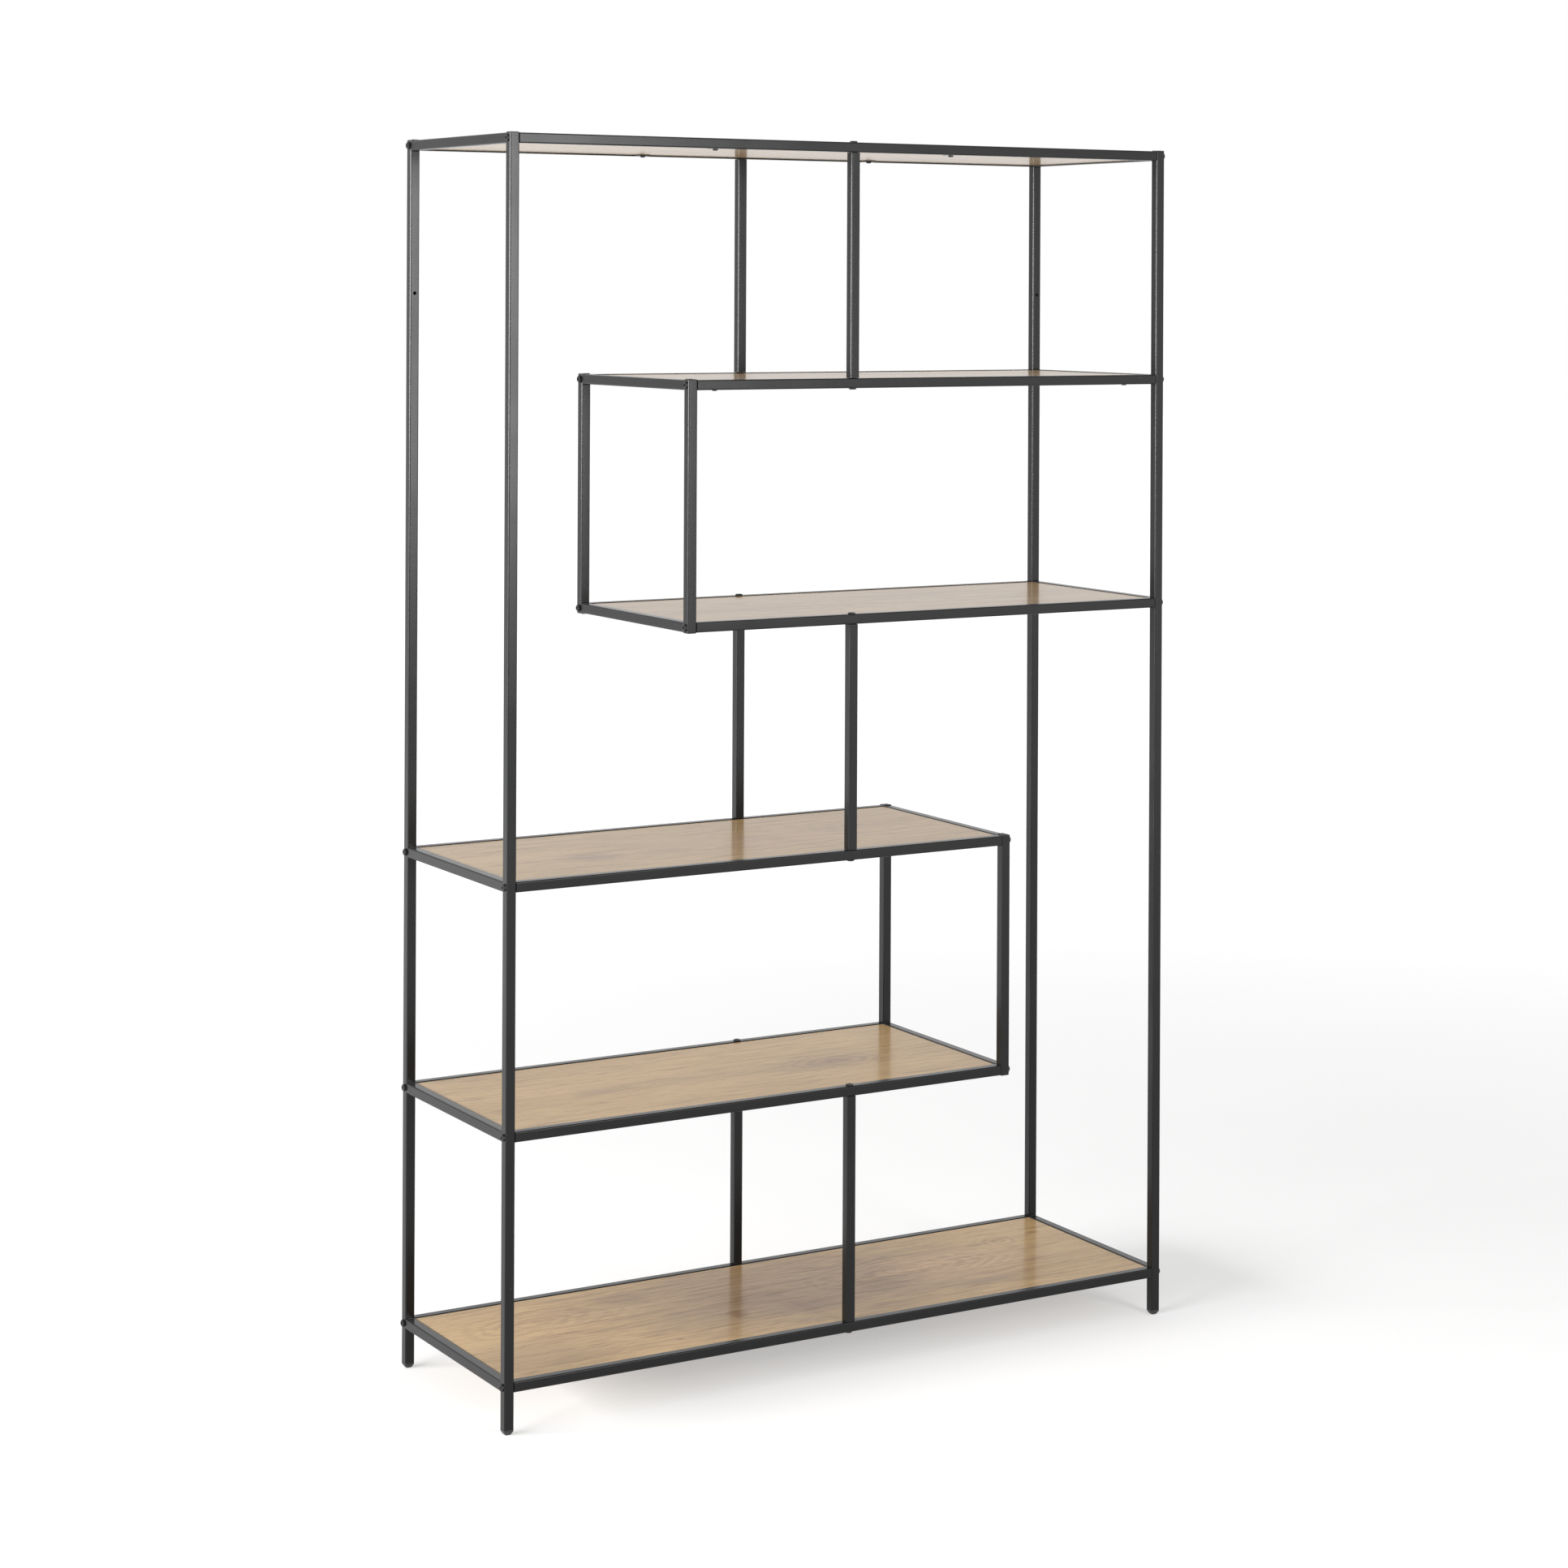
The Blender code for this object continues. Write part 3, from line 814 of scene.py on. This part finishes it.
def add_tab(name, x, inner_face, inward, underside):
    """A flat tab on a rail's inner face, with its two outer corners cut off."""
    root = inner_face - inward * corner
    tip = inner_face + inward * tab_reach
    low = (x - tab_length / 2, min(root, tip), underside)
    high = (x + tab_length / 2, max(root, tip), underside + tab_thickness)
    tab = add_cube(name, low, high)

    def is_outer_corner(mesh, edge):
        first, second = (mesh.vertices[index].co for index in edge.vertices)
        return abs(first.z - second.z) > tab_thickness / 2 and abs(first.y - tip) < tab_thickness

    edit(tab, "edges", is_outer_corner)
    bpy.ops.mesh.bevel(offset=tab_corner, segments=4, affect="EDGES")
    edit(tab, "edges", lambda mesh, edge: True)
    bpy.ops.mesh.bevel(offset=tab_edge, segments=1, affect="EDGES")
    bpy.ops.object.mode_set(mode="OBJECT")
    smooth(tab)
    return tab


# %% Make the rails and their tabs
rail_deburr = 0.0004
tab_screw_reach = 0.012
screw_places = []
rail_spans = {}
for shelf, (left_frame, right_frame) in shelf_ends.items():
    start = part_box(f"{left_frame}_front_post")[1].x
    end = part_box(f"{right_frame}_front_post")[0].x
    rail_spans[shelf] = (start, end)
    bottom, top = shelf_z[shelf]
    for row, (near, far) in row_y.items():
        name = f"shelf_{shelf}_{row}_rail"
        low, high = (start + seam, near, bottom), (end - seam, far, top)
        rail = add_tube(f"{name}_tube", low, high, deburr=rail_deburr)
        belongs(rail, frame_coating, "frame_coating", name)
        inner_face, inward = (far, 1) if row == "front" else (near, -1)
        places = tab_places(shelf, start, end)
        if row == "rear":
            places = [start + end - x for x in places]
        for number, x in enumerate(places, 1):
            tab = add_tab(f"{name}_tab_{number}", x, inner_face, inward, bottom + tab_lift)
            belongs(tab, frame_coating, "frame_coating")
            screw_places.append((x, inner_face + inward * tab_screw_reach, bottom + tab_lift))
print("rails:", 2 * len(rail_spans), "tabs:", len(screw_places))

# %% Make the uprights
upright_bays = (1, 3, 5)
upright_x = sum(corner_point.x for corner_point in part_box("bay_1_front_upright")) / 2
for bay in upright_bays:
    bottom = shelf_z[bay][1] + seam
    top = shelf_z[bay + 1][0] - seam
    for row, (near, far) in row_y.items():
        name = f"bay_{bay}_{row}_upright"
        low = (upright_x - tube / 2, near, bottom)
        high = (upright_x + tube / 2, far, top)
        upright = add_tube(f"{name}_tube", low, high, deburr=rail_deburr)
        belongs(upright, frame_coating, "frame_coating", name)
        standing_tubes.objects.link(upright)
print("uprights:", 2 * len(upright_bays), "at x =", round(upright_x, 4))

# %% [markdown]
# ## Bolts and screws
#
# A button-head bolt goes through the post into each rail end, with its domed head and its
# hexagon socket on the outside. The uprights are held by flatter heads on top of or under
# the rails. Each head is a cylinder whose outer rim is bevelled into a dome, and a six-sided
# cylinder cuts the socket. The pan-head screws under the tabs get a cross recess instead.

# %% Model a bolt head and a screw head round the origin
def make_bolt_head(name, radius, height, dome, socket_flats, socket_depth):
    """A domed head that sits on the plane z = 0 and faces +Z."""
    head = add_cylinder(name, radius, 0.0, height, sides=40)
    edit(head, "edges", lambda mesh, edge: heights(mesh, edge)[0] > height / 2)
    bpy.ops.mesh.bevel(offset=dome, segments=6, affect="EDGES")
    bpy.ops.object.mode_set(mode="OBJECT")
    socket_radius = socket_flats / 2 / math.cos(math.pi / 6)
    socket_floor = height - socket_depth
    cut(head, add_cylinder("socket", socket_radius, socket_floor, height + socket_depth, sides=6))
    smooth(head, angle=35.0)
    return head


screw_dome_share = 0.6
slot_floor_share = 0.4
slot_top_share = 1.2


def make_screw_head(name, radius, height, slot_width, slot_length):
    """A pan head with a cross recess; its seat is the plane z = 0 and it faces +Z."""
    head = add_cylinder(name, radius, 0.0, height, sides=32)
    edit(head, "edges", lambda mesh, edge: heights(mesh, edge)[0] > height / 2)
    bpy.ops.mesh.bevel(offset=height * screw_dome_share, segments=5, affect="EDGES")
    bpy.ops.object.mode_set(mode="OBJECT")
    half_length, half_width = slot_length / 2, slot_width / 2
    slot_floor, slot_top = height * slot_floor_share, height * slot_top_share
    for x, y in ((half_length, half_width), (half_width, half_length)):
        cut(head, add_cube("slot", (-x, -y, slot_floor), (x, y, slot_top)))
    smooth(head, angle=35.0)
    return head


# %% Make the three heads
hexagon_flats = 0.0040
frame_bolt_head = make_bolt_head(
    "frame_bolt_head",
    radius=0.00525,
    height=0.0033,
    dome=0.0021,
    socket_flats=hexagon_flats,
    socket_depth=0.0021,
)
upright_bolt_head = make_bolt_head(
    "upright_bolt_head",
    radius=0.0058,
    height=0.0018,
    dome=0.0012,
    socket_flats=hexagon_flats,
    socket_depth=0.0012,
)
screw_head = make_screw_head(
    "screw_head", radius=0.0040, height=0.0024, slot_width=0.0009, slot_length=0.0044
)
for head in (frame_bolt_head, upright_bolt_head, screw_head):
    print(head.name, "faces:", len(head.data.polygons))

# %% Set the bolts on the posts
bolt_count = 0
for shelf, (start, end) in rail_spans.items():
    middle_z = sum(shelf_z[shelf]) / 2
    for row, (near, far) in row_y.items():
        middle_y = (near + far) / 2
        for side, face_x, turned in (
            ("left", start - tube - seam, -quarter_turn),
            ("right", end + tube + seam, quarter_turn),
        ):
            name = f"shelf_{shelf}_{row}_{side}_bolt"
            place = (face_x, middle_y, middle_z)
            bolt = copy_to(frame_bolt_head, name, place, (0.0, turned, 0.0))
            belongs(bolt, black_steel, "frame_coating")
            bolt_count += 1
print("bolts on the posts:", bolt_count)

# %% Set the bolts on the rails and the screws under the tabs
half_turn = math.pi
for bay in upright_bays:
    for row, (near, far) in row_y.items():
        middle_y = (near + far) / 2
        under = (upright_x, middle_y, shelf_z[bay][0] - seam)
        over = (upright_x, middle_y, shelf_z[bay + 1][1] + seam)
        name = f"bay_{bay}_{row}_lower_bolt"
        lower = copy_to(upright_bolt_head, name, under, (half_turn, 0.0, 0.0))
        upper = copy_to(upright_bolt_head, f"bay_{bay}_{row}_upper_bolt", over)
        belongs(lower, black_steel, "frame_coating")
        belongs(upper, black_steel, "frame_coating")
        bolt_count += 2
for number, place in enumerate(screw_places, 1):
    screw = copy_to(screw_head, f"board_screw_{number}", place, (half_turn, 0.0, 0.0))
    belongs(screw, black_steel, "frame_coating")
for pattern in (frame_bolt_head, upright_bolt_head, screw_head):
    bpy.data.objects.remove(pattern)
print("bolts in all:", bolt_count, "screws:", len(screw_places))

# %% [markdown]
# ## Caps and glides
#
# An open tube end would be sharp, so each is closed by a moulded plastic part that is pushed
# in. At the top only a thin crowned flange shows. At the floor the glide has a collar as
# wide as the tube, then draws in to a small pad.

# %% Model a cap round the origin
cap_flange = 0.0004
cap_rise = 0.0012
crown_inset = 0.0022
# how much of the crown's rise each of its two steps takes
crown_rise_shares = (0.7, 0.3)
# a face lies level where its normal's Z is beyond this
level = 0.9


def flat_square(name, bottom, top):
    """A slab of the tube's section between two heights, its upright edges rolled."""
    half = tube / 2
    slab = add_cube(name, (-half, -half, bottom), (half, half, top))
    edit(slab, "edges", lambda mesh, edge: climb(mesh, edge) > (top - bottom) / 2)
    bpy.ops.mesh.bevel(offset=corner, segments=corner_segments, affect="EDGES")
    bpy.ops.object.mode_set(mode="OBJECT")
    return slab


def make_cap():
    """A cap for a tube end at z = 0 that faces +Z: a flange, then a low crown."""
    cap = flat_square("cap", 0.0, cap_flange)
    edit(cap, "faces", lambda mesh, face: face.normal.z > level)
    for share in crown_rise_shares:
        bpy.ops.mesh.inset(thickness=crown_inset / 2)
        bpy.ops.transform.translate(value=(0.0, 0.0, (cap_rise - cap_flange) * share))
    bpy.ops.object.mode_set(mode="OBJECT")
    smooth(cap, angle=60.0)
    return cap


cap = make_cap()
print("cap faces:", len(cap.data.polygons))

# %% Model a glide round the origin
foot_seat = post_low.z
collar_height = 0.0025
collar_bottom = foot_seat - collar_height
pad_size = 0.008
pad_edge = 0.0010
collar_edge = 0.0008


def is_pad_rim(mesh, edge):
    return heights(mesh, edge)[1] < collar_bottom / 4


def is_collar_rim(mesh, edge):
    return all(abs(z - collar_bottom) < collar_bottom / 20 for z in heights(mesh, edge))


def make_glide():
    """A glide whose collar meets the tube at its seat and whose pad rests on z = 0."""
    glide = flat_square("glide", collar_bottom, foot_seat)
    edit(glide, "faces", lambda mesh, face: face.normal.z < -level)
    shrink = pad_size / tube
    bpy.ops.mesh.extrude_region_move(
        TRANSFORM_OT_translate={"value": (0.0, 0.0, -collar_bottom)}
    )
    bpy.ops.transform.resize(value=(shrink, shrink, 1.0))
    bpy.ops.object.mode_set(mode="OBJECT")
    edit(glide, "edges", is_pad_rim)
    bpy.ops.mesh.bevel(offset=pad_edge, segments=4, affect="EDGES")
    edit(glide, "edges", is_collar_rim)
    bpy.ops.mesh.bevel(offset=collar_edge, segments=3, affect="EDGES")
    bpy.ops.object.mode_set(mode="OBJECT")
    smooth(glide, angle=60.0)
    return glide


glide = make_glide()
print("glide faces:", len(glide.data.polygons))

# %% Push the caps and glides in
for row in ("front", "rear"):
    for side in ("left", "right"):
        low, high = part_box(f"{side}_side_{row}_post")
        middle = (low + high) / 2
        piece = copy_to(cap, f"{side}_{row}_post_cap_moulding", (middle.x, middle.y, high.z))
        belongs(piece, black_plastic, "black_plastic", f"{side}_{row}_post_cap")
        piece = copy_to(glide, f"{side}_{row}_foot_moulding", (middle.x, middle.y, 0.0))
        belongs(piece, black_plastic, "black_plastic", f"{side}_{row}_foot")
    for frame_name in ("lower_short_frame", "upper_short_frame"):
        low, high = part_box(f"{frame_name}_{row}_post")
        middle = (low + high) / 2
        node = f"{frame_name}_{row}_top_cap"
        piece = copy_to(cap, f"{node}_moulding", (middle.x, middle.y, high.z))
        belongs(piece, black_plastic, "black_plastic", node)
        node = f"{frame_name}_{row}_bottom_cap"
        place = (middle.x, middle.y, low.z)
        piece = copy_to(cap, f"{node}_moulding", place, (half_turn, 0.0, 0.0))
        belongs(piece, black_plastic, "black_plastic", node)
for pattern in (cap, glide):
    bpy.data.objects.remove(pattern)

# %% [markdown]
# ## Boards
#
# The boards lie inside the rails, one millimetre below their tops. Each is a flat panel
# whose edges are eased just enough to catch a line of light, with a narrow dark joint all
# round where the panel stops short of the steel.

# %% Make the boards
board_edge = 0.0006
for shelf in shelf_ends:
    name = f"shelf_{shelf}_board"
    low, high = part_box(name)
    board = add_cube(f"{name}_panel", low, high)
    edit(board, "edges", lambda mesh, edge: True)
    bpy.ops.mesh.bevel(offset=board_edge, segments=3, affect="EDGES")
    bpy.ops.object.mode_set(mode="OBJECT")
    smooth(board)
    belongs(board, oak_board, "oak_board", name)
print("boards:", len(shelf_ends))

# %% [markdown]
# ## Floor, backdrop and light
#
# The unit stands on a plain pale floor in front of white. The floor and the world are both
# white where the camera, a reflection or a refraction looks at them, and the floor keeps
# the shadow that the unit throws.
#
# Black gloss shows the lamps themselves, so they are placed by what each face mirrors. The
# fronts of the posts mirror a soft lamp that stands in front on the right, which gives the
# upper posts a grey sheen that fades lower down. The rolled corners on the left mirror a
# long, low and much brighter lamp far off on the left, as the thin line of light along them.
# A dim fill low on the right keeps the fronts farther along from going quite black.
#
# A lamp that is bright enough for that line would blot out the grain wherever a lacquered
# board mirrors it, as it does from the side and from behind. So each lamp is hung twice: one
# gives its light to everything but is mirrored nowhere, and its twin is only mirrored, and
# only in the black pieces. The twin of the left lamp is mirrored only in the standing tubes,
# whose corners it is there for: the tops of the rails would show it as a white line. Cycles
# calls this light linking. Each twin hangs a little before its lamp and not in the same
# place, because of two lamps in one place a mirrored ray meets only the first.

# %% Lay the floor
white = (1.0, 1.0, 1.0, 1.0)
floor_dark = (0.61, 0.61, 0.61, 1.0)
floor_pale = (0.63, 0.63, 0.63, 1.0)
floor_size = 60.0


def add_seen(tree):
    """One where the camera, a reflection or a refraction looks, and zero for all other rays."""
    paths = add_node(tree, "ShaderNodeLightPath")
    camera_ray, glossy_ray = paths.outputs["Is Camera Ray"], paths.outputs["Is Glossy Ray"]
    seen = add_math(tree, "MAXIMUM", camera_ray, glossy_ray)
    return add_math(tree, "MAXIMUM", seen, paths.outputs["Is Transmission Ray"])


def make_floor_finish():
    """A matt floor whose glow, where it is seen, makes up what it lacks to white."""
    material, tree, shader = new_material("pale_floor")
    metres = object_coordinates(tree, no_stretch)
    tone = add_noise(tree, metres, scale=3.0)
    colour = add_mix(tree, tone, floor_dark, floor_pale)
    tree.links.new(colour, shader.inputs["Base Color"])
    shader.inputs["Roughness"].default_value = 0.8
    shader.inputs["Specular IOR Level"].default_value = 0.0
    distance = add_node(tree, "ShaderNodeVectorMath", operation="LENGTH")
    tree.links.new(metres, distance.inputs[0])
    away = distance.outputs["Value"]
    brightness = add_range(tree, away, low=1.2, high=6.0, to_low=0.41, to_high=0.80)
    glow = add_math(tree, "MULTIPLY", add_seen(tree), brightness)
    shader.inputs["Emission Color"].default_value = white
    tree.links.new(glow, shader.inputs["Emission Strength"])
    return material


clear_selection()
bpy.ops.mesh.primitive_plane_add(size=floor_size, location=(0.0, 0.0, 0.0))
floor = bpy.context.object
floor.name = "floor"
floor.data.materials.append(make_floor_finish())
print("floor:", floor_size, "m across")

# %% Set the world
ambient_strength = 0.43
backdrop_strength = 1.0


def make_world():
    """A world that lights dimly and is seen as white."""
    world = bpy.data.worlds.new("white_studio")
    world.use_nodes = True
    tree = world.node_tree
    tree.nodes.clear()
    chooser = add_node(tree, "ShaderNodeMixShader")
    output = add_node(tree, "ShaderNodeOutputWorld")
    tree.links.new(add_seen(tree), chooser.inputs[0])
    for socket, strength in ((1, ambient_strength), (2, backdrop_strength)):
        background = add_node(
            tree, "ShaderNodeBackground", {"Color": white, "Strength": strength}
        )
        tree.links.new(background.outputs[0], chooser.inputs[socket])
    tree.links.new(chooser.outputs[0], output.inputs["Surface"])
    return world


bpy.context.scene.world = make_world()
print("world:", bpy.context.scene.world.name)

# %% Hang the lamps
# watts for each square metre of a lamp that looks just as bright as white
white_power = 4.0
twin_distance = 0.05


def add_lamp(name, place, aim, width, height, brightness):
    """A rectangular lamp at a place, turned to face a point, this many times white."""
    lamp_data = bpy.data.lights.new(name, "AREA")
    lamp_data.shape = "RECTANGLE"
    lamp_data.size = width
    lamp_data.size_y = height
    lamp_data.energy = white_power * brightness * width * height
    lamp = bpy.data.objects.new(name, lamp_data)
    bpy.context.scene.collection.objects.link(lamp)
    lamp.location = place
    lamp.rotation_euler = (Vector(aim) - Vector(place)).to_track_quat("-Z", "Y").to_euler()
    return lamp


def add_softbox(name, mirrored_in, place, aim, **form):
    """A lamp that lights everything, and just before it a twin that only some pieces mirror."""
    add_lamp(name, place, aim, **form).visible_glossy = False
    step = (Vector(aim) - Vector(place)).normalized() * twin_distance
    twin = add_lamp(f"{name}_mirrored", Vector(place) + step, aim, **form)
    twin.visible_diffuse = False
    twin.light_linking.receiver_collection = mirrored_in


add_softbox(
    "front_softbox",
    black_pieces,
    place=(1.16, -4.6, 1.85),
    aim=(1.16, 0.0, 1.85),
    width=1.42,
    height=2.0,
    brightness=9.2,
)
add_softbox(
    "left_softbox",
    standing_tubes,
    place=(-6.65, 0.10, 1.75),
    aim=(-0.575, -0.18, 1.75),
    width=7.0,
    height=1.3,
    brightness=32.0,
)
add_softbox(
    "right_fill",
    black_pieces,
    place=(3.9, -4.6, 1.25),
    aim=(3.9, 0.0, 1.25),
    width=3.0,
    height=2.3,
    brightness=0.75,
)

bpy.context.scene.view_settings.view_transform = "Standard"
